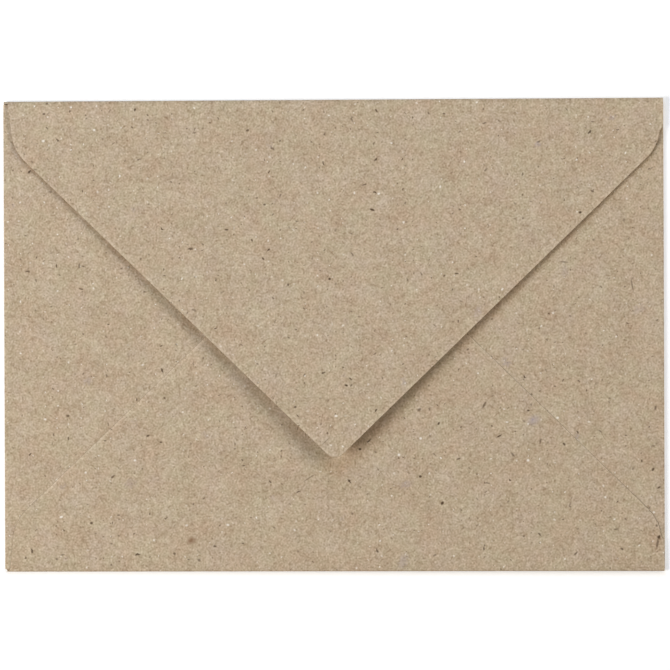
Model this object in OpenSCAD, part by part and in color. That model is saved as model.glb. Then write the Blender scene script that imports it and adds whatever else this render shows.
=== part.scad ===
// Paper envelope with a pointed closing flap: one cut sheet, folded along four creases.
// It lies on its front with the flaps up, and the closing flap's crease is towards +Y.
// The origin is the middle of the front, on the surface that the envelope lies on.

/* [Body] */
// Width over the two side creases
body_w = 161; // [140:1:230]
// Height over the bottom crease and the closing flap's crease
body_h = 115; // [110:1:165]

/* [Paper] */
// Thickness of the sheet
paper_t = 0.18; // [0.12:0.01:0.35]
// Air in the pocket, between the front and the side flaps
pocket_gap = 0.3; // [0.15:0.05:1.5]
// Air between the back and the closing flap, at its crease
closing_gap = 0.3; // [0.1:0.05:1]
// Clearance between a side crease's end and the crease next to it
corner_gap = 0.3; // [0.1:0.05:1]

/* [Closing flap] */
// Depth from the crease to where the two cut edges would meet
closing_depth = 88; // [70:0.1:105]
// Depth at which a cut edge would cross the body's side
closing_shoulder = 10; // [6:0.1:16]
// Place of the tip, to the right of the flap's middle
closing_tip_x = -0.4; // [-2:0.1:2]
// Rise that the outward curl gives the tip
closing_curl = 3.2; // [0.5:0.1:8]

/* [Bottom flap] */
// Depth from the crease to where the two cut edges would meet
bottom_depth = 88.4; // [70:0.1:105]
// Depth at which a cut edge would cross the body's side
bottom_shoulder = 10.6; // [6:0.1:16]
// Place of the tip, to the right of the flap's middle
bottom_tip_x = 0.9; // [-2:0.1:2]

/* [Side flaps] */
// Depth from the crease to where the two cut edges would meet
side_depth = 64; // [54:0.5:68]
// Depth at which a cut edge would cross the body's top or bottom
side_shoulder = 4; // [3:0.5:8]
// Inset of a shoulder from the body's top or bottom
side_inset = 1.8; // [1.2:0.1:4]

/* [Cut edges] */
// How far the closing and bottom flaps lie to the right of the body's middle
flap_shift = 0.5; // [-0.5:0.1:0.5]
// Inset of those flaps from the body's sides, at the crease
crease_inset = 0.6; // [0.55:0.05:1.5]
// Inset of those flaps from the body's sides, at the shoulders
shoulder_inset = 2; // [1:0.1:4]
// Radius of the shoulders of those flaps
shoulder_r = 11; // [2:0.5:14]
// Radius of the shoulders of the side flaps
side_shoulder_r = 3; // [1:0.5:6]
// Radius of every flap's tip
tip_r = 2.8; // [1:0.1:8]

/* [Hidden] */

paper_color = "#BCA990";
crease_fn = 64;
corner_steps = 10;
closing_fn = 1440;

half_w = body_w / 2;
half_h = body_h / 2;

// Heights of the layers' undersides, from the front up
side_z = paper_t + pocket_gap;
bottom_z = side_z + paper_t;
closing_z = bottom_z + paper_t + closing_gap;

// A crease wraps from the front's underside to its flap's outer face
side_bend = (side_z + paper_t) / 2;
bottom_bend = (bottom_z + paper_t) / 2;
closing_bend = (closing_z + paper_t) / 2;

// The flat front, and where it ends and the creases begin
front_h = body_h - bottom_bend - closing_bend;
side_x = half_w - side_bend;
bottom_y = half_h - bottom_bend;
closing_y = front_h - bottom_y;

// The closing flap curls outwards on a radius that gives the tip its rise
closing_r = pow(closing_depth, 2) / (2 * closing_curl);

// Length of the creases of the closing and bottom flaps
crease_length = body_w - 2 * crease_inset;

// Arc of radius r that rounds the corner b of the path a, b, c
function rounded_corner(a, b, c, r) =
    let (
        to_a = (a - b) / norm(a - b),
        to_c = (c - b) / norm(c - b),
        half_angle = acos(to_a * to_c) / 2,
        middle = (to_a + to_c) / norm(to_a + to_c),
        centre = b + middle * r / sin(half_angle),
        start = b + to_a * r / tan(half_angle) - centre,
        turn = sign(cross(b - a, c - b)) * (180 - 2 * half_angle)
    )
    [for (i = [0 : corner_steps])
        let (angle = turn * i / corner_steps)
        centre + [
            start.x * cos(angle) - start.y * sin(angle),
            start.x * sin(angle) + start.y * cos(angle)
        ]];

// Outline of a flap, with its crease from end to end on the X axis and its tip towards +Y.
// The shoulders are inset from half the body, and rounded to a radius of their own.
function flap_outline(low_end, high_end, half, inset, depth, shoulder, tip_x, round_r) =
    let (
        rise = shoulder + inset * (depth - shoulder) / half,
        low_shoulder = [inset - half, rise],
        high_shoulder = [half - inset, rise],
        tip = [tip_x, depth]
    )
    concat(
        [[low_end, 0], [high_end, 0]],
        rounded_corner([high_end, 0], high_shoulder, tip, round_r),
        rounded_corner(high_shoulder, tip, low_shoulder, tip_r),
        rounded_corner(tip, low_shoulder, [low_end, 0], round_r)
    );

// Outline of the closing flap or the bottom flap, past its crease's bend
function main_flap(depth, shoulder, tip_x, bend_r) =
    flap_outline(-crease_length / 2, crease_length / 2, half_w, shoulder_inset,
        depth - bend_r, shoulder - bend_r, tip_x, shoulder_r);

// Outline of a side flap, which keeps clear of the creases at both its ends
function side_outline() =
    flap_outline(-half_h + bottom_bend + corner_gap, half_h - closing_bend - corner_gap,
        half_h, side_inset, side_depth - side_bend, side_shoulder - side_bend, 0,
        side_shoulder_r);

// Part of a ring of sheet around the Z axis, from one angle through a sweep
module bend(inner_r, from, sweep, length, fn = crease_fn) {
    rotate([0, 0, from])
        rotate_extrude(angle = sweep, $fn = fn)
            translate([inner_r, 0]) square([paper_t, length]);
}

// Turns Z to +X and X to +Y, for what is bent around the body's width
module around_x() {
    rotate([90, 0, 90]) children();
}

// Turns Z to -Y, for what is bent around the body's height
module around_y() {
    rotate([90, 0, 0]) children();
}

// The front, which carries the address and is what the envelope lies on
module front() {
    translate([-side_x, -bottom_y, 0]) cube([2 * side_x, front_h, paper_t]);
}

// One side flap with its crease, on the +X side
module side_flap() {
    crease_top = half_h - closing_bend - corner_gap;
    crease_bottom = half_h - bottom_bend - corner_gap;
    translate([side_x, crease_top, side_bend])
        around_y()
            bend(side_bend - paper_t, -90, 180, crease_top + crease_bottom);
    translate([side_x, 0, side_z])
        rotate([0, 0, 90])
            linear_extrude(paper_t) polygon(side_outline());
}

// The bottom flap with its crease, glued down over the side flaps
module bottom_flap() {
    translate([flap_shift, -bottom_y, 0]) {
        translate([-crease_length / 2, 0, bottom_bend])
            around_x()
                bend(bottom_bend - paper_t, 90, 180, crease_length);
        translate([0, 0, bottom_z])
            linear_extrude(paper_t)
                polygon(main_flap(bottom_depth, bottom_shoulder, bottom_tip_x, bottom_bend));
    }
}

// The closing flap with its crease, curled outwards so that its tip stands off the back
module closing_flap() {
    translate([flap_shift, closing_y, 0]) {
        translate([-crease_length / 2, 0, closing_bend])
            around_x()
                bend(closing_bend - paper_t, -90, 180, crease_length);
        intersection() {
            translate([-half_w, 0, closing_z + paper_t + closing_r])
                around_x()
                    bend(closing_r, -90, -asin(closing_depth / closing_r), body_w, closing_fn);
            mirror([0, 1, 0])
                linear_extrude(closing_z + closing_curl + 2 * paper_t)
                    polygon(main_flap(closing_depth, closing_shoulder, closing_tip_x,
                        closing_bend));
        }
    }
}

module envelope() {
    color(paper_color) {
        front();
        side_flap();
        mirror([1, 0, 0]) side_flap();
        bottom_flap();
        closing_flap();
    }
}

envelope();
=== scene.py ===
"""Looks of the paper envelope: one sheet of recycled kraft, cut flat and folded around the CAD part."""

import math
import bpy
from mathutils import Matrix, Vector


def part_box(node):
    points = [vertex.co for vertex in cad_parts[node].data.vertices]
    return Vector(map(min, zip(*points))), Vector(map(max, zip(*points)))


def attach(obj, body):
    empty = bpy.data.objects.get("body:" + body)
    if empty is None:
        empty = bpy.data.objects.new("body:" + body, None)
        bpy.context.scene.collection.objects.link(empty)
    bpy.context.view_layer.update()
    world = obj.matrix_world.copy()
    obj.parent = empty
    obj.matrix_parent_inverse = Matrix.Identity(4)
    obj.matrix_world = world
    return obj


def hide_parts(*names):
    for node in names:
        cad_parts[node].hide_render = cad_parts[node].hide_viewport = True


bl_info = {
    "name": "Paper Envelope",
    "version": (1, 0, 0),
    "blender": (4, 5, 0),
    "location": "3D View > Sidebar > Envelope",
    "description": "Cuts a kraft envelope's blank, folds it and lights it on a white floor",
    "category": "Add Mesh",
}

from types import SimpleNamespace

import bpy
import numpy as np
from bpy.props import FloatProperty, FloatVectorProperty, IntProperty, PointerProperty
from mathutils import Euler, Matrix, Vector, geometry

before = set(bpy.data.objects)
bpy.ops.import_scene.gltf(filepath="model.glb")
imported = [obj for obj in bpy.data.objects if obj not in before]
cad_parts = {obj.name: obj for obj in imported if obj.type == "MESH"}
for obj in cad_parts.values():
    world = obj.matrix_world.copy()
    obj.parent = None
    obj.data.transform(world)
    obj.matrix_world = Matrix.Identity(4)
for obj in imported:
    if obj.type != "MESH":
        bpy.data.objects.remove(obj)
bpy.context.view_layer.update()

MM = 0.001
SHEET_LOW, SHEET_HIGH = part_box("envelope")

# Points on each rounded corner of a cut edge
CORNER_STEPS = 14
# A blank's point keeps this many steps away from the cut edge, so that no triangle is a sliver
EDGE_CLEARANCE = 0.4
# Radius that stands for no curl at all, in metres
NO_CURL = 1e4
# The UV map lays the sheet's outer face, inner face and cut edge side by side, this far apart
FACE_OFFSET = 0.4
UV_NAME = "Blank"
# Each point's distance to the sheet's cut edge, in metres
EDGE_NAME = "edge_distance"
# How far the crown of the bottom flap's cut edge lies towards the inner face, as a share of half the paper
GLUED_CROWN = 0.7
# Edges of the folded sheet that turn by more than this are drawn sharp, in degrees
SHARP_FROM = 40
# Width of the slow waves in the paper, and the number that picks their pattern
COCKLE_WIDTH = 45 * MM
COCKLE_SEED = 3.0
# The floor is a square that reaches this far each way, in metres, and it lies a hair below the paper
FLOOR_REACH = 4.0
FLOOR_DROP = 0.03 * MM
# Marks of this very sheet: x, y, length and width in mm on the lying envelope, turn in degrees, and strength
DARK_MARKS = (
    (79.1, -49.2, 0.9, 0.65, 70, 1.0),
    (78.7, -50.8, 2.2, 0.55, 80, 0.7),
    (70.1, -52.1, 0.8, 0.5, -40, 0.8),
    (77.7, -32.8, 0.9, 0.55, 55, 0.9),
    (79.1, -37.2, 0.9, 0.4, 30, 0.9),
    (68.7, -47.3, 1.2, 0.35, 5, 0.6),
    (58.9, -53.2, 1.2, 0.45, 45, 0.7),
    (36.8, -17.0, 1.8, 0.5, 60, 0.7),
    (40.4, -24.6, 1.3, 0.35, 28, 1.0),
    (47.5, -18.4, 0.6, 0.45, 0, 0.9),
    (43.7, -29.1, 1.1, 0.5, -50, 0.7),
    (-59.2, -45.6, 0.7, 0.6, 0, 0.9),
    (-64.9, -19.4, 0.7, 0.6, 0, 0.8),
    (-45.3, -24.3, 0.8, 0.5, 20, 0.9),
    (-42.1, -25.9, 0.7, 0.4, 0, 0.8),
    (-55.8, -25.5, 0.7, 0.4, 0, 0.7),
    (-70.4, 54.4, 0.7, 0.5, 0, 0.8),
    (-69.7, 56.9, 0.7, 0.4, 0, 0.7),
    (3.3, -12.1, 0.8, 0.5, -20, 1.0),
    (-9.1, -17.3, 0.6, 0.6, 0, 0.8),
    (-29.0, -51.3, 0.8, 0.4, 0, 0.9),
    (-38.9, -53.1, 0.7, 0.6, 0, 0.7),
    (-32.9, -54.7, 0.8, 0.6, -25, 0.7),
    (6.5, -27.7, 0.7, 0.5, 0, 1.0),
    (8.7, -25.7, 1.2, 0.4, 45, 0.8),
    (9.7, 30.6, 1.2, 0.5, -20, 1.0),
    (-0.7, 13.8, 0.65, 0.55, 0, 1.0),
    (-20.6, 50.1, 0.8, 0.55, 30, 0.8),
    (60.2, 29.7, 0.65, 0.55, 0, 1.0),
    (21.2, -34.4, 0.7, 0.6, 0, 1.0),
    (26.5, -40.9, 0.9, 0.65, 60, 1.0),
    (25.7, -21.5, 0.8, 0.45, 60, 1.0),
    (21.0, -18.1, 1.0, 0.6, 30, 0.7),
    (30.5, -30.1, 1.0, 0.4, 20, 0.8),
    (7.8, 36.7, 1.3, 0.3, 15, 0.8),
    (-16.5, 32.0, 0.65, 0.5, 0, 0.8),
    (-25.8, 25.9, 0.9, 0.4, 0, 0.9),
    (-19.6, 23.3, 0.7, 0.45, -60, 0.8),
    (-16.9, 18.8, 0.8, 0.45, -45, 0.9),
    (72.8, 12.0, 3.0, 0.3, -80, 0.6),
    (56.3, 17.7, 2.0, 0.35, -5, 0.6),
    (-5.9, -34.7, 3.0, 0.3, 33, 0.5),
    (-1.7, -25.6, 2.2, 0.25, 42, 0.5),
)
PALE_MARKS = (
    (54.6, -20.2, 0.65, 0.5, 0, 1.0),
    (47.4, -30.5, 0.6, 0.6, 0, 1.0),
    (42.3, -21.2, 0.65, 0.4, 0, 0.8),
    (62.2, -21.2, 0.6, 0.4, 0, 0.7),
    (66.1, -39.5, 0.5, 0.5, 0, 0.9),
    (-70.6, 47.8, 0.65, 0.6, 0, 1.0),
    (-58.1, 50.4, 0.6, 0.5, 0, 1.0),
    (-70.5, -20.2, 0.6, 0.5, 0, 0.9),
    (-48.5, -30.3, 0.6, 0.5, 0, 0.9),
    (-66.6, -44.1, 0.8, 0.5, 20, 1.0),
    (-43.9, -49.8, 0.5, 0.5, 0, 0.8),
    (-35.9, -46.2, 0.7, 0.5, 10, 0.7),
    (-25.8, -46.1, 0.7, 0.5, -10, 0.9),
    (0.8, -19.5, 0.7, 0.5, 0, 1.0),
    (16.0, -29.1, 0.6, 0.6, 0, 1.0),
    (21.3, -25.1, 0.6, 0.55, 0, 1.0),
)
# A round brown stain on the bottom flap, and a trace of ink, each with its dark middle
STAINS = (
    (-34.7, -50.0, 2.1, 1.7, 35, 0.7),
    (-34.8, -49.9, 1.3, 1.0, 60, 1.0),
)
INK_TRACES = (
    (48.8, -20.7, 2.6, 1.9, 30, 0.45),
    (48.6, -20.6, 0.7, 0.5, 40, 0.9),
)


def linear(hex_colour):
    """An sRGB hex colour as linear red, green and blue."""
    channels = [int(hex_colour[i:i + 2], 16) / 255 for i in (1, 3, 5)]
    return [c / 12.92 if c <= 0.04045 else ((c + 0.055) / 1.055) ** 2.4 for c in channels]


class EnvelopeSizes(bpy.types.PropertyGroup):
    """Sizes of the envelope and its blank."""

    body_width: FloatProperty(
        name="Body width", description="Width over the two side creases",
        default=SHEET_HIGH.x - SHEET_LOW.x, unit="LENGTH")
    body_height: FloatProperty(
        name="Body height", description="Height over the bottom crease and the closing flap's crease",
        default=SHEET_HIGH.y - SHEET_LOW.y, unit="LENGTH")
    overall_height: FloatProperty(
        name="Tip height", description="Height of the closing flap's tip above the table",
        default=SHEET_HIGH.z - SHEET_LOW.z, unit="LENGTH")
    paper_thickness: FloatProperty(
        name="Paper thickness", description="Thickness of the sheet", default=0.18 * MM, unit="LENGTH")
    pocket_gap: FloatProperty(
        name="Pocket gap", description="Air between the front and the side flaps",
        default=0.3 * MM, unit="LENGTH")
    closing_gap: FloatProperty(
        name="Closing gap", description="Air between the back and the closing flap, at its crease",
        default=0.3 * MM, unit="LENGTH")
    corner_gap: FloatProperty(
        name="Corner gap", description="Clearance between a side crease's end and the bottom crease",
        default=0.2 * MM, unit="LENGTH")
    closing_corner_gap: FloatProperty(
        name="Closing corner gap",
        description="Clearance between a side crease's end and the closing crease",
        default=0.05 * MM, unit="LENGTH")
    closing_corner_inset: FloatProperty(
        name="Closing corner inset",
        description="Inset of the closing crease's outer half from the body's sides",
        default=0.1 * MM, unit="LENGTH")
    bottom_corner_inset: FloatProperty(
        name="Bottom corner inset",
        description="Inset of the bottom crease's outer half from the body's left side",
        default=0.5 * MM, unit="LENGTH")
    closing_depth: FloatProperty(
        name="Closing flap depth", description="Depth to where the closing flap's cut edges would meet",
        default=88 * MM, unit="LENGTH")
    closing_shoulder: FloatProperty(
        name="Closing flap shoulder", description="Depth at which its cut edge would cross the body's side",
        default=10 * MM, unit="LENGTH")
    closing_tip: FloatProperty(
        name="Closing flap tip", description="Place of the closing flap's tip, right of its middle",
        default=-0.05 * MM, unit="LENGTH")
    bottom_depth: FloatProperty(
        name="Bottom flap depth", description="Depth to where the bottom flap's cut edges would meet",
        default=88.4 * MM, unit="LENGTH")
    bottom_shoulder: FloatProperty(
        name="Bottom flap shoulder", description="Depth at which its cut edge would cross the body's side",
        default=10.6 * MM, unit="LENGTH")
    bottom_tip: FloatProperty(
        name="Bottom flap tip", description="Place of the bottom flap's tip, right of its middle",
        default=0.9 * MM, unit="LENGTH")
    side_depth: FloatProperty(
        name="Side flap depth", description="Depth to where a side flap's cut edges would meet",
        default=64 * MM, unit="LENGTH")
    side_shoulder: FloatProperty(
        name="Side flap shoulder", description="Depth at which its cut edge would cross the body's end",
        default=4 * MM, unit="LENGTH")
    side_inset: FloatProperty(
        name="Side flap inset", description="Inset of a side flap's shoulder from the body's end",
        default=1.8 * MM, unit="LENGTH")
    flap_shift: FloatProperty(
        name="Flap shift", description="How far the closing and bottom flaps lie right of the middle",
        default=0.58 * MM, unit="LENGTH")
    crease_inset: FloatProperty(
        name="Crease inset", description="Inset of those flaps from the body's sides, at the crease",
        default=0.68 * MM, unit="LENGTH")
    shoulder_inset: FloatProperty(
        name="Shoulder inset", description="Inset of those flaps from the body's sides, at the shoulders",
        default=2 * MM, unit="LENGTH")
    shoulder_radius: FloatProperty(
        name="Shoulder radius", description="Radius of the shoulders of those flaps",
        default=11 * MM, unit="LENGTH")
    side_shoulder_radius: FloatProperty(
        name="Side shoulder radius", description="Radius of the shoulders of the side flaps",
        default=3 * MM, unit="LENGTH")
    tip_radius: FloatProperty(
        name="Tip radius", description="Radius of every flap's tip", default=2.8 * MM, unit="LENGTH")
    cockle: FloatProperty(
        name="Cockle", description="Height of the slow waves that damp air leaves in the paper",
        default=0.06 * MM, unit="LENGTH")
    burr: FloatProperty(
        name="Cut edge crown", description="How far the middle of the cut edge stands proud",
        default=0.02 * MM, unit="LENGTH")
    glued_slope: FloatProperty(
        name="Glued edge slope", description="How far the bottom flap's crushed cut edge slopes out",
        default=0.1 * MM, unit="LENGTH")
    edge_press: FloatProperty(
        name="Edge press", description="How much thinner the bottom flap's glued edge is pressed",
        default=0.1 * MM, unit="LENGTH")
    press_reach: FloatProperty(
        name="Press reach", description="Width of the pressed band along that edge",
        default=2.0 * MM, unit="LENGTH")
    free_corner: FloatProperty(
        name="Free corner",
        description="Depth past the bottom flap's shoulder at which its edge is fully pressed",
        default=14 * MM, unit="LENGTH")
    mesh_step: FloatProperty(
        name="Mesh step", description="Distance between the mesh's points on the flat panels",
        default=1.4 * MM, unit="LENGTH")
    crease_steps: IntProperty(
        name="Crease steps", description="Rows of faces around a crease", default=14, min=4, max=32)


class PaperLook(bpy.types.PropertyGroup):
    """Colours of the recycled kraft paper."""

    pulp_warm: FloatVectorProperty(
        name="Warm pulp", description="Colour of the reddish clouds in the pulp",
        default=linear("#BEA68C"), size=3, subtype="COLOR", min=0, max=1)
    pulp_green: FloatVectorProperty(
        name="Green pulp", description="Colour of the greenish clouds in the pulp",
        default=linear("#BFAF93"), size=3, subtype="COLOR", min=0, max=1)
    pulp_grey: FloatVectorProperty(
        name="Grey pulp", description="Colour of the bluish-grey clouds, from paper that was printed",
        default=linear("#C3B09C"), size=3, subtype="COLOR", min=0, max=1)
    shive: FloatVectorProperty(
        name="Shive", description="Colour of the dark slivers of bark and wood",
        default=linear("#54412E"), size=3, subtype="COLOR", min=0, max=1)
    wood_fibre: FloatVectorProperty(
        name="Wood fibre", description="Colour of the brown fibres",
        default=linear("#8A6B4F"), size=3, subtype="COLOR", min=0, max=1)
    white_fleck: FloatVectorProperty(
        name="White fleck", description="Colour of the flecks left from bleached paper",
        default=linear("#F4ECDF"), size=3, subtype="COLOR", min=0, max=1)
    ink_smudge: FloatVectorProperty(
        name="Ink smudge", description="Colour of the rare traces of old ink",
        default=linear("#9C93A6"), size=3, subtype="COLOR", min=0, max=1)


class StageLook(bpy.types.PropertyGroup):
    """Camera and lamps."""

    lens: FloatProperty(name="Lens", description="Focal length in millimetres", default=150)
    camera_distance: FloatProperty(
        name="Camera distance", description="From the camera to the table",
        default=681.3 * MM, unit="LENGTH")
    camera_turn: FloatVectorProperty(
        name="Camera turn", description="Small turns of the camera from looking straight down",
        default=[math.radians(a) for a in (-0.14, 1.8, -0.22)], size=3, subtype="EULER")
    camera_target: FloatVectorProperty(
        name="Camera target", description="Place on the table that the camera looks at",
        default=(0.5 * MM, 0.14 * MM, 0), size=3, subtype="TRANSLATION")
    left_lamp: FloatProperty(name="Left lamp", description="Watts of the left lamp", default=7.05)
    right_lamp: FloatProperty(name="Right lamp", description="Watts of the right lamp", default=3.95)
    far_lamp: FloatProperty(name="Far lamp", description="Watts of the lamp past the crease", default=2.67)
    surroundings: FloatProperty(
        name="Surroundings", description="Strength of the light from all round", default=0.069)


def creases(s):
    """Where the creases lie on the flat blank, and how each one turns."""
    side_z = s.paper_thickness + s.pocket_gap
    bottom_z = side_z + s.paper_thickness
    closing_z = bottom_z + s.paper_thickness + s.closing_gap
    c = SimpleNamespace(closing_z=closing_z)
    c.side_bend = (side_z + s.paper_thickness) / 2
    c.bottom_bend = (bottom_z + s.paper_thickness) / 2
    c.closing_bend = (closing_z + s.paper_thickness) / 2
    # Length of paper that a half turn takes up, measured in the middle of the sheet
    c.side_strip = math.pi * (c.side_bend - s.paper_thickness / 2)
    c.bottom_strip = math.pi * (c.bottom_bend - s.paper_thickness / 2)
    c.closing_strip = math.pi * (c.closing_bend - s.paper_thickness / 2)
    c.side_x = s.body_width / 2 - c.side_bend
    c.bottom_y = -s.body_height / 2 + c.bottom_bend
    c.closing_y = s.body_height / 2 - c.closing_bend
    return c


def rounded_corner(before, corner, after, radius):
    """Points of the arc that rounds a corner between its two neighbours."""
    back = (before - corner).normalized()
    on = (after - corner).normalized()
    half_angle = back.angle(on) / 2
    centre = corner + (back + on).normalized() * radius / math.sin(half_angle)
    start = corner + back * radius / math.tan(half_angle) - centre
    turn = math.copysign(math.pi - 2 * half_angle, (corner - before).cross(after - corner))
    return [centre + Matrix.Rotation(turn * i / CORNER_STEPS, 2) @ start for i in range(CORNER_STEPS + 1)]


def cut_edge(low_end, high_end, half, inset, depth, shoulder, tip, shoulder_radius, tip_radius):
    """A flap's cut edge from its crease's low end, over shoulder, tip and shoulder, to the high end."""
    rise = shoulder + inset * (depth - shoulder) / half
    ends = Vector((low_end, 0)), Vector((high_end, 0))
    shoulders = Vector((inset - half, rise)), Vector((half - inset, rise))
    point = Vector((tip, depth))
    return [
        ends[0],
        *rounded_corner(ends[0], shoulders[0], point, shoulder_radius),
        *rounded_corner(shoulders[0], point, shoulders[1], tip_radius),
        *rounded_corner(point, shoulders[1], ends[1], shoulder_radius),
        ends[1],
    ]


def main_edge(s, depth, shoulder, tip, bend):
    """Cut edge of the closing flap or the bottom flap, past its crease's bend."""
    half = s.body_width / 2
    end = half - s.crease_inset
    return cut_edge(-end, end, half, s.shoulder_inset, depth - bend, shoulder - bend, tip,
                    s.shoulder_radius, s.tip_radius)


def curl_radius(s, c, closing_edge):
    """Radius of the closing flap's outward curl, on which its tip comes up to the tip height."""
    tip_depth = max(p.y for p in closing_edge)
    rise = s.overall_height - s.cockle - c.closing_z - s.paper_thickness
    return (tip_depth ** 2 + rise ** 2) / (2 * rise)


def blank_outline(s, c):
    """The blank's outline, anticlockwise, with the front's middle at the origin; and the curl's radius."""
    half_height = s.body_height / 2
    side_low = c.bottom_y + s.corner_gap
    side_high = c.closing_y - s.closing_corner_gap
    side_edge = cut_edge(
        side_low, side_high, half_height, s.side_inset, s.side_depth - c.side_bend,
        s.side_shoulder - c.side_bend, 0, s.side_shoulder_radius, s.tip_radius)
    bottom_edge = main_edge(s, s.bottom_depth, s.bottom_shoulder, s.bottom_tip, c.bottom_bend)
    closing_edge = main_edge(s, s.closing_depth, s.closing_shoulder, s.closing_tip, c.closing_bend)
    curl = curl_radius(s, c, closing_edge)
    middle = curl + s.paper_thickness / 2
    side_start = c.side_x + c.side_strip
    bottom_start = c.bottom_y - c.bottom_strip
    closing_start = c.closing_y + c.closing_strip
    right = [(side_start + p.y, p.x) for p in side_edge]
    closing = [(s.flap_shift + p.x, closing_start + middle * math.asin(p.y / middle)) for p in closing_edge]
    bottom = [(s.flap_shift + p.x, bottom_start - p.y) for p in bottom_edge]
    left = [(-x, y) for x, y in right]
    # Up to its half turn each main crease fills the body's corners, and its cut edge starts from there
    corner_x = s.body_width / 2 - s.closing_corner_inset
    corner_low = c.closing_y + s.closing_corner_gap / 4
    corner_high = c.closing_y + c.closing_strip / 2
    left_end = s.bottom_corner_inset - s.body_width / 2
    return [
        (c.side_x, side_low), *right, (c.side_x, side_high),
        (c.side_x, c.closing_y), (corner_x, corner_low), (corner_x, corner_high),
        *closing[::-1],
        (-corner_x, corner_high), (-corner_x, corner_low), (-c.side_x, c.closing_y),
        (-c.side_x, side_high), *left[::-1], (-c.side_x, side_low),
        (-c.side_x, c.bottom_y), (left_end, c.bottom_y), (left_end, c.bottom_y - c.bottom_strip / 2),
        *bottom,
        (bottom[-1][0], c.bottom_y), (c.side_x, c.bottom_y),
    ], curl


def step_lines(places, mesh_step, strips, crease_steps):
    """Sorted places across the blank, and the number of mesh steps up to each, with crease strips finer."""
    counts = [0]
    for low, high in zip(places, places[1:]):
        is_strip = any(abs(low - strip) < 1e-7 for strip in strips)
        counts.append(counts[-1] + (crease_steps if is_strip else math.ceil((high - low) / mesh_step)))
    return np.array(places), np.array(counts)


def edge_distance(points, outline):
    """Each point's distance to the outline, and whether it is inside."""
    inside = np.zeros(len(points), bool)
    nearest = np.full(len(points), np.inf)
    for start, end in zip(outline, np.roll(outline, -1, axis=0)):
        along = end - start
        share = np.clip((points - start) @ along / (along @ along), 0, 1)
        nearest = np.minimum(nearest, np.linalg.norm(points - start - share[:, None] * along, axis=1))
        if along[1]:
            crossed = (start[1] > points[:, 1]) != (end[1] > points[:, 1])
            inside ^= crossed & (points[:, 0] < start[0] + (points[:, 1] - start[1]) * along[0] / along[1])
    return nearest, inside


def cut_blank(s, c):
    """The flat blank as points and triangles, with its cut edge as a loop of point numbers; and the curl."""
    outline, curl = blank_outline(s, c)
    outline = np.array(outline)
    far_x = outline[:, 0].max()
    far_low, far_high = outline[:, 1].min(), outline[:, 1].max()
    side_end = c.side_x + c.side_strip
    across = step_lines(
        [-far_x, -side_end, -c.side_x, c.side_x, side_end, far_x],
        s.mesh_step, [-side_end, c.side_x], s.crease_steps)
    bottom_start = c.bottom_y - c.bottom_strip
    closing_start = c.closing_y + c.closing_strip
    up = step_lines(
        [far_low, bottom_start, c.bottom_y, c.closing_y, closing_start, far_high],
        s.mesh_step, [bottom_start, c.closing_y], s.crease_steps)
    stepped = np.column_stack([np.interp(outline[:, 0], *across), np.interp(outline[:, 1], *up)])
    edge = []
    for start, end in zip(stepped, np.roll(stepped, -1, axis=0)):
        parts = max(1, math.ceil(np.linalg.norm(end - start) - 1e-3))
        edge += [start + (end - start) * i / parts for i in range(parts)]
    columns, rows = np.meshgrid(np.arange(across[1][-1] + 1), np.arange(up[1][-1] + 1))
    grid = np.column_stack([columns.ravel(), rows.ravel()]).astype(float)
    nearest, inside = edge_distance(grid, np.array(edge))
    grid = grid[inside & (nearest > EDGE_CLEARANCE)]
    points = [Vector(p) for p in edge] + [Vector(p) for p in grid]
    made, _, triangles, came_from, _, _ = geometry.delaunay_2d_cdt(
        points, [], [list(range(len(edge)))], 1, 1e-6)
    made = np.array(made)
    flat = np.column_stack([np.interp(made[:, 0], *across[::-1]), np.interp(made[:, 1], *up[::-1])])
    number = {source: new for new, sources in enumerate(came_from) for source in sources}
    return flat, triangles, [number[i] for i in range(len(edge))], curl


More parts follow.
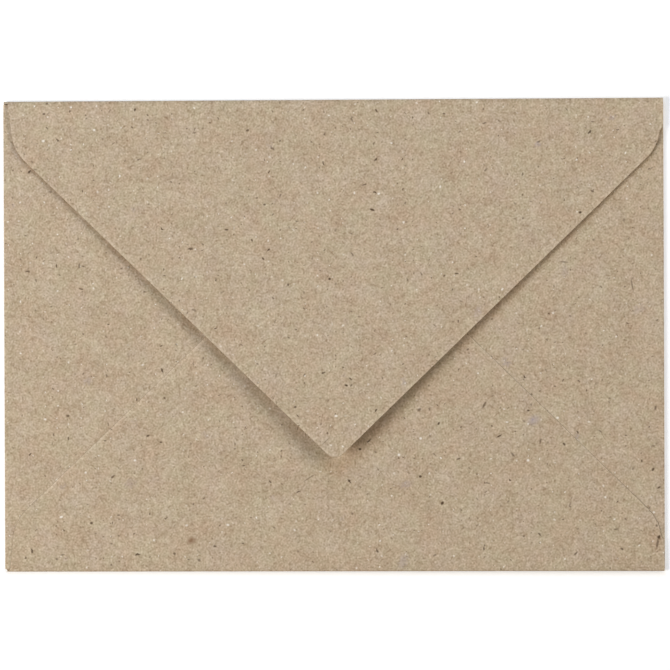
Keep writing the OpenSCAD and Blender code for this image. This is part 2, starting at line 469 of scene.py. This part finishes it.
def thick_blank(s, c):
    """The flat blank as a closed mesh of the paper's thickness, with its UV map; and the curl."""
    flat, triangles, edge, curl = cut_blank(s, c)
    count = len(flat)
    half = s.paper_thickness / 2
    edge_points = flat[edge]
    along = np.roll(edge_points, -1, axis=0) - np.roll(edge_points, 1, axis=0)
    outward = np.column_stack([along[:, 1], -along[:, 0]]) / np.linalg.norm(along, axis=1)[:, None]
    distance, _ = edge_distance(flat, edge_points)
    distance[edge] = 0
    glued = c.bottom_y - c.bottom_strip - s.bottom_shoulder - flat[:, 1]
    grip = np.clip(glued / s.free_corner, 0.0, 1.0)
    pressed = s.edge_press * grip * np.clip(1 - distance / s.press_reach, 0, 1)
    on_bottom = edge_points[:, 1] < c.bottom_y - c.bottom_strip
    crown = edge_points + outward * np.where(on_bottom, s.glued_slope, s.burr)[:, None]
    vertices = np.vstack([
        np.column_stack([flat, np.full(count, half)]),
        np.column_stack([flat, pressed - half]),
        np.column_stack([crown, np.where(on_bottom, GLUED_CROWN * half, 0)]),
    ])
    inner = [tuple(t) for t in triangles]
    outer = [(a + count, e + count, b + count) for a, b, e in triangles]
    rim = []
    for i, start in enumerate(edge):
        following = (i + 1) % len(edge)
        end = edge[following]
        middle_start, middle_end = 2 * count + i, 2 * count + following
        rim.append((start + count, end + count, middle_end, middle_start))
        rim.append((middle_start, middle_end, end, start))
    faces = inner + outer + rim
    mesh = bpy.data.meshes.new("paper_envelope")
    mesh.from_pydata(vertices, [], faces)
    corners = np.zeros(len(mesh.loops), np.int32)
    mesh.loops.foreach_get("vertex_index", corners)
    places = vertices[corners, :2].copy()
    rim_start = 3 * (len(inner) + len(outer))
    places[:3 * len(inner), 0] += FACE_OFFSET
    rim_corners = vertices[corners[rim_start:]]
    places[rim_start:, 0] += rim_corners[:, 2] + 2 * FACE_OFFSET
    uv_map = mesh.uv_layers.new(name=UV_NAME, do_init=False)
    uv_map.uv.foreach_set("vector", places.astype(np.float32).ravel())
    everywhere = np.concatenate([distance, distance, np.zeros(len(edge))])
    from_edge = mesh.attributes.new(EDGE_NAME, "FLOAT", "POINT")
    from_edge.data.foreach_set("value", everywhere.astype(np.float32))
    return mesh, curl


def add(tree, kind, inputs=(), **settings):
    """Adds a node. Its inputs come in order or by name or number, as values, sockets or nodes."""
    made = tree.nodes.new(kind)
    for name, value in settings.items():
        setattr(made, name, value)
    for name, value in inputs.items() if isinstance(inputs, dict) else enumerate(inputs):
        if isinstance(value, bpy.types.Node):
            value = value.outputs[0]
        if isinstance(value, bpy.types.NodeSocket):
            tree.links.new(value, made.inputs[name])
        else:
            made.inputs[name].default_value = value
    return made


def crease_offset(tree, distance, depth, bend_radius, curl):
    """How far a crease moves a point of the blank along the sheet and up, at a distance past its start.

    Depth is the point's place in the thickness, from the middle of the sheet towards its inner face.
    The bend's radius is measured to the middle of the sheet, and the curl's starts past the half turn."""
    past = add(tree, "ShaderNodeMath", (distance, 0.0), operation="MAXIMUM")
    turned = add(tree, "ShaderNodeMath", (past, bend_radius), operation="DIVIDE")
    angle = add(tree, "ShaderNodeMath", (turned, math.pi), operation="MINIMUM")
    strip = add(tree, "ShaderNodeMath", (bend_radius, math.pi), operation="MULTIPLY")
    beyond = add(tree, "ShaderNodeMath", (past, strip), operation="SUBTRACT")
    flap = add(tree, "ShaderNodeMath", (beyond, 0.0), operation="MAXIMUM")
    curled = add(tree, "ShaderNodeMath", (flap, curl), operation="DIVIDE")
    bend_arm = add(tree, "ShaderNodeMath", (bend_radius, depth), operation="SUBTRACT")
    curl_arm = add(tree, "ShaderNodeMath", (curl, depth), operation="ADD")
    bend_sine = add(tree, "ShaderNodeMath", (angle,), operation="SINE")
    curl_sine = add(tree, "ShaderNodeMath", (curled,), operation="SINE")
    bend_along = add(tree, "ShaderNodeMath", (bend_sine, bend_arm), operation="MULTIPLY")
    curl_along = add(tree, "ShaderNodeMath", (curl_sine, curl_arm), operation="MULTIPLY")
    both_along = add(tree, "ShaderNodeMath", (bend_along, curl_along), operation="SUBTRACT")
    along = add(tree, "ShaderNodeMath", (both_along, past), operation="SUBTRACT")
    rises = []
    for turn, arm in ((angle, bend_arm), (curled, curl_arm)):
        cosine = add(tree, "ShaderNodeMath", (turn,), operation="COSINE")
        versine = add(tree, "ShaderNodeMath", (1.0, cosine), operation="SUBTRACT")
        rises.append(add(tree, "ShaderNodeMath", (versine, arm), operation="MULTIPLY"))
    up = add(tree, "ShaderNodeMath", rises, operation="ADD")
    return along, up


def folding_tree():
    """Geometry nodes that fold the flat blank along its four creases and cockle the paper."""
    tree = bpy.data.node_groups.new("Fold the blank", "GeometryNodeTree")
    face = tree.interface
    face.new_socket("Blank", in_out="INPUT", socket_type="NodeSocketGeometry")
    for name in ("Side Crease", "Bottom Crease", "Closing Crease", "Side Bend", "Bottom Bend", "Closing Bend",
                 "Curl Radius", "Paper Thickness", "Cockle Height", "Cockle Width", "Cockle Seed"):
        face.new_socket(name, in_out="INPUT", socket_type="NodeSocketFloat")
    face.new_socket("Paper", in_out="INPUT", socket_type="NodeSocketMaterial")
    face.new_socket("Envelope", in_out="OUTPUT", socket_type="NodeSocketGeometry")
    given = add(tree, "NodeGroupInput").outputs
    point = add(tree, "ShaderNodeSeparateXYZ", (add(tree, "GeometryNodeInputPosition"),))
    x, y, depth = point.outputs

    # The side creases turn only the paper between the bottom crease and the closing crease
    above = add(tree, "ShaderNodeMath", (y, given["Bottom Crease"]), operation="GREATER_THAN")
    below = add(tree, "ShaderNodeMath", (y, given["Closing Crease"]), operation="LESS_THAN")
    between = add(tree, "ShaderNodeMath", (above, below), operation="MULTIPLY")
    width = add(tree, "ShaderNodeMath", (x,), operation="ABSOLUTE")
    past_side = add(tree, "ShaderNodeMath", (width, given["Side Crease"]), operation="SUBTRACT")
    side_distance = add(tree, "ShaderNodeMath", (past_side, between), operation="MULTIPLY")
    bottom_distance = add(tree, "ShaderNodeMath", (given["Bottom Crease"], y), operation="SUBTRACT")
    closing_distance = add(tree, "ShaderNodeMath", (y, given["Closing Crease"]), operation="SUBTRACT")
    side_in, side_up = crease_offset(tree, side_distance, depth, given["Side Bend"], NO_CURL)
    bottom_in, bottom_up = crease_offset(tree, bottom_distance, depth, given["Bottom Bend"], NO_CURL)
    closing_in, closing_up = crease_offset(tree, closing_distance, depth, given["Closing Bend"],
                                           given["Curl Radius"])

    to_side = add(tree, "ShaderNodeMath", (x,), operation="SIGN")
    move_x = add(tree, "ShaderNodeMath", (side_in, to_side), operation="MULTIPLY")
    move_y = add(tree, "ShaderNodeMath", (closing_in, bottom_in), operation="SUBTRACT")
    flaps_up = add(tree, "ShaderNodeMath", (bottom_up, closing_up), operation="ADD")
    folds_up = add(tree, "ShaderNodeMath", (side_up, flaps_up), operation="ADD")
    # The front's outer face lies on the table
    lift = add(tree, "ShaderNodeMath", (given["Paper Thickness"], 0.5), operation="MULTIPLY")
    move_z = add(tree, "ShaderNodeMath", (folds_up, lift), operation="ADD")
    move = add(tree, "ShaderNodeCombineXYZ", (move_x, move_y, move_z))
    folded = add(tree, "GeometryNodeSetPosition", {"Geometry": given["Blank"], "Offset": move})

    # All layers that lie on each other rise and fall together
    place = add(tree, "ShaderNodeSeparateXYZ", (add(tree, "GeometryNodeInputPosition"),))
    plan = add(tree, "ShaderNodeCombineXYZ", (place.outputs[0], place.outputs[1], 0.0))
    fineness = add(tree, "ShaderNodeMath", (1.0, given["Cockle Width"]), operation="DIVIDE")
    wave = add(tree, "ShaderNodeTexNoise", {"Vector": plan, "W": given["Cockle Seed"], "Scale": fineness,
                                            "Detail": 2.0, "Roughness": 0.45}, noise_dimensions="4D")
    rise = add(tree, "ShaderNodeMath", (wave.outputs[0], given["Cockle Height"]), operation="MULTIPLY")
    cockle = add(tree, "ShaderNodeCombineXYZ", (0.0, 0.0, rise))
    cockled = add(tree, "GeometryNodeSetPosition", {"Geometry": folded, "Offset": cockle})
    real = add(tree, "GeometryNodeRealizeInstances", (cockled,))
    finished = add(tree, "GeometryNodeSetMaterial", {"Geometry": real, "Material": given["Paper"]})
    add(tree, "NodeGroupOutput", (finished,))
    return tree


def marks(tree, place, seed, spacing, length, width, share, softness=0.5):
    """Mask of marks scattered in the paper: randomly turned slivers, in millimetres.

    Spacing is the width of the cell that holds one mark, and share is the part of the cells that have one."""
    moved = add(tree, "ShaderNodeVectorMath", (place, (seed * 37.7, seed * 19.3, 0)), operation="ADD")
    # A slow waver bends the longer slivers a little, and roughens their outline
    waver = add(tree, "ShaderNodeTexNoise", {"Vector": moved, "Scale": 1.3, "Detail": 2.0},
                noise_dimensions="2D")
    centred = add(tree, "ShaderNodeVectorMath", (waver.outputs["Color"], (0.5, 0.5, 0.5)),
                  operation="SUBTRACT")
    pushed = add(tree, "ShaderNodeVectorMath", {0: centred, "Scale": 1.2 * width}, operation="SCALE")
    bent = add(tree, "ShaderNodeVectorMath", (moved, pushed), operation="ADD")
    cell = add(tree, "ShaderNodeTexVoronoi", {"Vector": bent, "Scale": 1 / spacing, "Randomness": 0.75},
               voronoi_dimensions="2D")
    chance = add(tree, "ShaderNodeSeparateColor", (cell.outputs["Color"],))
    from_middle = add(tree, "ShaderNodeVectorMath", (bent, cell.outputs["Position"]), operation="SUBTRACT")
    angle = add(tree, "ShaderNodeMath", (chance.outputs[1], 2 * math.pi), operation="MULTIPLY")
    turned = add(tree, "ShaderNodeVectorRotate", {"Vector": from_middle, "Angle": angle},
                 rotation_type="Z_AXIS")
    sized = add(tree, "ShaderNodeMapRange", {"Value": chance.outputs[2], "To Min": 2.4, "To Max": 1.0})
    flat = add(tree, "ShaderNodeVectorMath", (turned, (2 / length, 2 / width, 0)), operation="MULTIPLY")
    scaled = add(tree, "ShaderNodeVectorMath", {0: flat, "Scale": sized}, operation="SCALE")
    reach = add(tree, "ShaderNodeVectorMath", (scaled,), operation="LENGTH")
    shape = add(tree, "ShaderNodeMapRange", {"Value": reach.outputs["Value"], "From Min": 1 + softness,
                                             "From Max": 1 - softness}, interpolation_type="SMOOTHSTEP")
    # Many marks are faint and few are strong
    present = add(tree, "ShaderNodeMapRange", {"Value": chance.outputs[0], "From Max": share, "To Min": 1.0,
                                               "To Max": 0.0})
    return add(tree, "ShaderNodeMath", (shape, present), operation="MULTIPLY")


def placed_marks(tree, place, marks_list, softness):
    """Mask of marks at given places, each an oval with a soft outline, in millimetres."""
    mask = 0.0
    for x, y, length, width, turn, strength in marks_list:
        turned = place
        if turn:
            turned = add(tree, "ShaderNodeVectorRotate",
                         {"Vector": place, "Center": (x, y, 0), "Angle": -math.radians(turn)},
                         rotation_type="Z_AXIS")
        flat = add(tree, "ShaderNodeVectorMath", (turned, (2 / length, 2 / width, 0),
                                                  (-2 * x / length, -2 * y / width, 0)),
                   operation="MULTIPLY_ADD")
        reach = add(tree, "ShaderNodeVectorMath", (flat,), operation="LENGTH")
        shape = add(tree, "ShaderNodeMapRange", {"Value": reach.outputs["Value"], "From Min": 1 + softness,
                                                 "From Max": 1 - softness, "To Max": strength},
                    interpolation_type="SMOOTHSTEP")
        mask = add(tree, "ShaderNodeMath", (shape, mask), operation="MAXIMUM")
    return mask


def tint(tree, base, colour, mask, strength=1.0):
    """The base colour with a colour laid over it where the mask is."""
    amount = add(tree, "ShaderNodeMath", (mask, strength), operation="MULTIPLY")
    return add(tree, "ShaderNodeMix", {0: amount, 6: base, 7: (*colour, 1)}, data_type="RGBA").outputs[2]


def recycled_kraft_paper(look, c):
    """Uncoated paper from unsorted waste, formed on a wire and calendered once, so matt and faintly fibrous.

    The eye sees grey-brown pulp with soft reddish and greenish clouds, short wiry fibres all ways,
    dark slivers of bark, white flecks of old printing paper and a rare trace of ink."""
    material = bpy.data.materials.new("recycled_kraft_paper")
    material.use_nodes = True
    tree = material.node_tree
    tree.nodes.clear()
    uv = add(tree, "ShaderNodeUVMap", uv_map=UV_NAME)
    # From here on, patterns are in millimetres of the flat sheet
    place = add(tree, "ShaderNodeMapping", {"Vector": uv, "Scale": (1 / MM, 1 / MM, 1 / MM)})

    # Clouds of unevenly mixed pulp, 1 to 8 mm across: reddish or greenish, in part grey, thick or thin
    clouds = add(tree, "ShaderNodeTexNoise", {"Vector": place, "Scale": 1 / 7.0, "Detail": 5.0,
                                              "Roughness": 0.67}, noise_dimensions="2D")
    cloud = add(tree, "ShaderNodeSeparateColor", (clouds.outputs["Color"],)).outputs
    warm = add(tree, "ShaderNodeMapRange", {"Value": cloud[0], "From Min": 0.3, "From Max": 0.7})
    colour = add(tree, "ShaderNodeMix", {0: warm, 6: (*look.pulp_green, 1), 7: (*look.pulp_warm, 1)},
                 data_type="RGBA").outputs[2]
    grey = add(tree, "ShaderNodeMapRange", {"Value": cloud[1], "From Min": 0.45, "From Max": 0.75})
    colour = tint(tree, colour, look.pulp_grey, grey, 0.7)
    thick = add(tree, "ShaderNodeMapRange", {"Value": cloud[2], "From Min": 0.3, "From Max": 0.7,
                                             "To Min": -0.065, "To Max": 0.065})

    # The fibre mat: wave packets of fibres 0.25 to 0.6 mm wide, and finer fuzz
    coarse = add(tree, "ShaderNodeTexGabor", {"Vector": place, "Scale": 0.55, "Frequency": 1.1,
                                              "Anisotropy": 0.0})
    fine = add(tree, "ShaderNodeTexGabor", {"Vector": place, "Scale": 1.0, "Frequency": 1.3,
                                            "Anisotropy": 0.0})
    fuzz = add(tree, "ShaderNodeTexNoise", {"Vector": place, "Scale": 0.5, "Detail": 5.0, "Roughness": 0.85},
               noise_dimensions="2D")
    mat = add(tree, "ShaderNodeMath", (fine, 0.75, add(tree, "ShaderNodeMath", (coarse, 0.5),
                                                       operation="MULTIPLY")), operation="MULTIPLY_ADD")
    height = add(tree, "ShaderNodeMath", (fuzz, 0.75, mat), operation="MULTIPLY_ADD")
    light = add(tree, "ShaderNodeMapRange", {"Value": height, "From Min": 0.4, "From Max": 1.6,
                                             "To Min": -0.6, "To Max": 0.6})
    # Painted highlight: within 0.25 to 0.65 mm of the cut edge the paper is drawn lighter, where the cut edge
    # catches the light
    from_edge = add(tree, "ShaderNodeAttribute", attribute_name=EDGE_NAME)
    painted_edge_highlight = add(tree, "ShaderNodeMapRange", {"Value": from_edge.outputs["Fac"], "From Min": 0.25 * MM,
                                               "From Max": 0.65 * MM, "To Min": 0.08, "To Max": 0.0})
    # Painted shade: the closing crease is drawn darker along its ridge, where the turning sheet faces away
    # from the lamps
    at = add(tree, "ShaderNodeSeparateXYZ", (place,)).outputs
    ridge = (c.closing_y + c.closing_strip / 2) / MM
    past_ridge = add(tree, "ShaderNodeMath", (at[1], ridge), operation="SUBTRACT")
    from_ridge = add(tree, "ShaderNodeMath", (past_ridge,), operation="ABSOLUTE")
    painted_crease_shade = add(tree, "ShaderNodeMapRange", {"Value": from_ridge, "From Min": 0.6, "From Max": 1.25,
                                            "To Min": -0.12, "To Max": 0.0})
    # The painted crease shade and the painted edge highlight, added together
    painted_crease_shade_and_edge_highlight = add(tree, "ShaderNodeMath", (painted_crease_shade, painted_edge_highlight), operation="ADD")
    lighter = add(tree, "ShaderNodeMath", (thick, painted_crease_shade_and_edge_highlight), operation="ADD")
    shade = add(tree, "ShaderNodeMath", (light, lighter), operation="ADD")
    # Dark fibres are browner than the pulp, and pale ones greyer
    gains = add(tree, "ShaderNodeVectorMath", (shade, (0.86, 1.0, 1.18), (1, 1, 1)),
                operation="MULTIPLY_ADD")
    colour = add(tree, "ShaderNodeVectorMath", (colour, gains), operation="MULTIPLY").outputs[0]

    # What is scattered in the pulp
    fibres = marks(tree, place, 1, 7.0, 3.0, 0.2, 0.4)
    colour = tint(tree, colour, look.wood_fibre, fibres, 0.6)
    hairs = marks(tree, place, 6, 2.6, 1.4, 0.3, 0.5)
    colour = tint(tree, colour, look.wood_fibre, hairs, 0.45)
    specks = marks(tree, place, 2, 1.9, 0.7, 0.42, 0.36)
    colour = tint(tree, colour, look.shive, specks, 0.75)
    shives = marks(tree, place, 3, 6.5, 1.25, 0.5, 0.6)
    colour = tint(tree, colour, look.shive, shives, 0.95)
    flecks = marks(tree, place, 4, 3.0, 0.55, 0.45, 0.54)
    colour = tint(tree, colour, look.white_fleck, flecks, 0.9)
    ink = marks(tree, place, 5, 17.0, 3.2, 2.0, 0.5, 0.8)
    colour = tint(tree, colour, look.ink_smudge, ink, 0.3)

    # The marks that tell this sheet from others, seen from above the lying envelope
    seen = add(tree, "ShaderNodeTexCoord").outputs["Object"]
    above = add(tree, "ShaderNodeMapping", {"Vector": seen, "Scale": (1 / MM, 1 / MM, 0)})
    for mark_colour, own_marks, softness, strength in (
        (look.wood_fibre, STAINS, 0.6, 0.9),
        (look.ink_smudge, INK_TRACES, 0.8, 0.8),
        (look.shive, DARK_MARKS, 0.45, 0.95),
        (look.white_fleck, PALE_MARKS, 0.6, 0.9),
    ):
        mask = placed_marks(tree, above, own_marks, softness)
        colour = tint(tree, colour, mark_colour, mask, strength)

    # Painted shade: the foot of the bottom flap's cut edge is drawn dark, as the shaded crevice along the
    # glued seam
    rim_from = 1.5 * FACE_OFFSET / MM
    bottom_flap_from = -58.5
    rim = add(tree, "ShaderNodeMath", (at[0], rim_from), operation="GREATER_THAN")
    glued = add(tree, "ShaderNodeMath", (at[1], bottom_flap_from), operation="LESS_THAN")
    painted_seam_shade = add(tree, "ShaderNodeMath", (rim, glued), operation="MULTIPLY")
    colour = tint(tree, colour, look.shive, painted_seam_shade, 0.42)

    bump = add(tree, "ShaderNodeBump", {"Height": height, "Strength": 0.6, "Distance": 0.012 * MM})
    surface = add(tree, "ShaderNodeBsdfPrincipled", {"Base Color": colour, "Roughness": 0.88, "IOR": 1.5,
                                                     "Specular IOR Level": 0.25, "Normal": bump})
    add(tree, "ShaderNodeOutputMaterial", (surface,))
    return material


class ENVELOPE_OT_fold_sheet(bpy.types.Operator):
    """Cut the blank, fold it into the envelope and finish it as recycled kraft paper"""

    bl_idname = "envelope.fold_sheet"
    bl_label = "Fold the Envelope"

    def execute(self, context):
        s = context.scene.envelope_sizes
        c = creases(s)
        mesh, curl = thick_blank(s, c)
        envelope = bpy.data.objects.new("paper_envelope", mesh)
        context.scene.collection.objects.link(envelope)
        tree = folding_tree()
        folding = envelope.modifiers.new("Fold", "NODES")
        folding.node_group = tree
        middle = s.paper_thickness / 2
        values = {
            "Side Crease": c.side_x,
            "Bottom Crease": c.bottom_y,
            "Closing Crease": c.closing_y,
            "Side Bend": c.side_bend - middle,
            "Bottom Bend": c.bottom_bend - middle,
            "Closing Bend": c.closing_bend - middle,
            "Curl Radius": curl + middle,
            "Paper Thickness": s.paper_thickness,
            "Cockle Height": s.cockle,
            "Cockle Width": COCKLE_WIDTH,
            "Cockle Seed": COCKLE_SEED,
            "Paper": recycled_kraft_paper(context.scene.paper_look, c),
        }
        for socket in tree.interface.items_tree:
            if socket.name in values:
                folding[socket.identifier] = values[socket.name]
        evaluated = envelope.evaluated_get(context.evaluated_depsgraph_get())
        folded = bpy.data.meshes.new_from_object(evaluated)
        envelope.modifiers.clear()
        envelope.data = folded
        if len(folded.polygons) != len(mesh.polygons):
            raise RuntimeError("folding changed the number of faces")
        folded.shade_smooth()
        folded.set_sharp_from_angle(angle=math.radians(SHARP_FROM))
        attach(envelope, "root")
        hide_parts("envelope")
        return {"FINISHED"}


class ENVELOPE_OT_set_stage(bpy.types.Operator):
    """Lay the white floor, and set the camera and the lamps of the product picture"""

    bl_idname = "envelope.set_stage"
    bl_label = "Set the Stage"

    def execute(self, context):
        scene = context.scene
        look = scene.stage_look
        self.lay_floor(scene)
        self.set_camera(scene, look)
        self.set_lamps(scene, look)
        scene.view_settings.view_transform = "Standard"
        return {"FINISHED"}

    def lay_floor(self, scene):
        mesh = bpy.data.meshes.new("floor")
        signs = ((-1, -1), (1, -1), (1, 1), (-1, 1))
        corners = [(x * FLOOR_REACH, y * FLOOR_REACH, -FLOOR_DROP) for x, y in signs]
        mesh.from_pydata(corners, [], [(0, 1, 2, 3)])
        floor = bpy.data.objects.new("floor", mesh)
        scene.collection.objects.link(floor)
        material = bpy.data.materials.new("white_paper_backdrop")
        material.use_nodes = True
        tree = material.node_tree
        tree.nodes.clear()
        diffuse = add(tree, "ShaderNodeBsdfDiffuse", {"Color": (*linear("#F2F2F2"), 1)})
        seen = add(tree, "ShaderNodeLightPath")
        # The lamps leave the far floor dim, so it glows up to white there
        place = add(tree, "ShaderNodeTexCoord").outputs["Object"]
        away = add(tree, "ShaderNodeVectorMath", (place,), operation="LENGTH").outputs["Value"]
        fill = add(tree, "ShaderNodeMapRange", {"Value": away, "From Min": 0.2, "From Max": 0.9,
                                                "To Min": 0.28, "To Max": 1.0})
        glow = add(tree, "ShaderNodeEmission", {"Strength": add(
            tree, "ShaderNodeMath", (seen.outputs["Is Camera Ray"], fill), operation="MULTIPLY")})
        both = add(tree, "ShaderNodeAddShader", (diffuse, glow))
        add(tree, "ShaderNodeOutputMaterial", (both,))
        mesh.materials.append(material)

    def set_camera(self, scene, look):
        camera = bpy.data.objects.new("camera", bpy.data.cameras.new("camera"))
        camera.data.lens = look.lens
        camera.data.clip_end = 100
        scene.collection.objects.link(camera)
        turn = Euler(look.camera_turn)
        camera.rotation_euler = turn
        camera.location = Vector(look.camera_target) + turn.to_matrix() @ Vector((0, 0, look.camera_distance))
        scene.camera = camera

    def set_lamps(self, scene, look):
        # The side lamps are warm and the far one is as cool as a window, so the flap's shadows are brown
        for name, watts, colour, bearing, elevation, distance, size in (
            ("left_lamp", look.left_lamp, (1.04, 0.997, 0.943), 195, 33, 0.9, (0.46, 0.42)),
            ("right_lamp", look.right_lamp, (1.085, 0.988, 0.865), 21, 32, 0.9, (0.55, 0.36)),
            ("far_lamp", look.far_lamp, (0.76, 1.0, 1.3), 95, 32, 0.9, (0.5, 0.34)),
        ):
            lamp = bpy.data.objects.new(name, bpy.data.lights.new(name, "AREA"))
            lamp.data.shape = "RECTANGLE"
            lamp.data.size, lamp.data.size_y = size
            lamp.data.energy = watts
            lamp.data.color = colour
            turn = Euler((0, -math.radians(elevation), math.radians(bearing)))
            lamp.location = turn.to_matrix() @ Vector((distance, 0, 0))
            lamp.rotation_euler = (-lamp.location).to_track_quat("-Z", "Y").to_euler()
            lamp.visible_camera = False
            scene.collection.objects.link(lamp)
        world = bpy.data.worlds.new("white_room")
        scene.world = world
        world.use_nodes = True
        tree = world.node_tree
        tree.nodes.clear()
        seen = add(tree, "ShaderNodeLightPath")
        light = add(tree, "ShaderNodeMapRange", {"Value": seen.outputs["Is Camera Ray"],
                                                 "To Min": look.surroundings, "To Max": 1.0})
        background = add(tree, "ShaderNodeBackground", {"Color": (1, 1, 1, 1), "Strength": light})
        add(tree, "ShaderNodeOutputWorld", (background,))


class ENVELOPE_PT_panel(bpy.types.Panel):
    """Buttons and sizes of the envelope"""

    bl_label = "Paper Envelope"
    bl_space_type = "VIEW_3D"
    bl_region_type = "UI"
    bl_category = "Envelope"

    def draw(self, context):
        layout = self.layout
        layout.operator(ENVELOPE_OT_fold_sheet.bl_idname)
        layout.operator(ENVELOPE_OT_set_stage.bl_idname)
        for group in (context.scene.envelope_sizes, context.scene.paper_look, context.scene.stage_look):
            box = layout.box()
            for name in group.__annotations__:
                box.prop(group, name)


GROUPS = {"envelope_sizes": EnvelopeSizes, "paper_look": PaperLook, "stage_look": StageLook}
CLASSES = (*GROUPS.values(), ENVELOPE_OT_fold_sheet, ENVELOPE_OT_set_stage, ENVELOPE_PT_panel)


def register():
    for each in CLASSES:
        bpy.utils.register_class(each)
    for name, group in GROUPS.items():
        setattr(bpy.types.Scene, name, PointerProperty(type=group))


def unregister():
    for name in GROUPS:
        delattr(bpy.types.Scene, name)
    for each in reversed(CLASSES):
        bpy.utils.unregister_class(each)


def main():
    register()
    bpy.ops.envelope.fold_sheet()
    bpy.ops.envelope.set_stage()


if __name__ == "__main__":
    main()
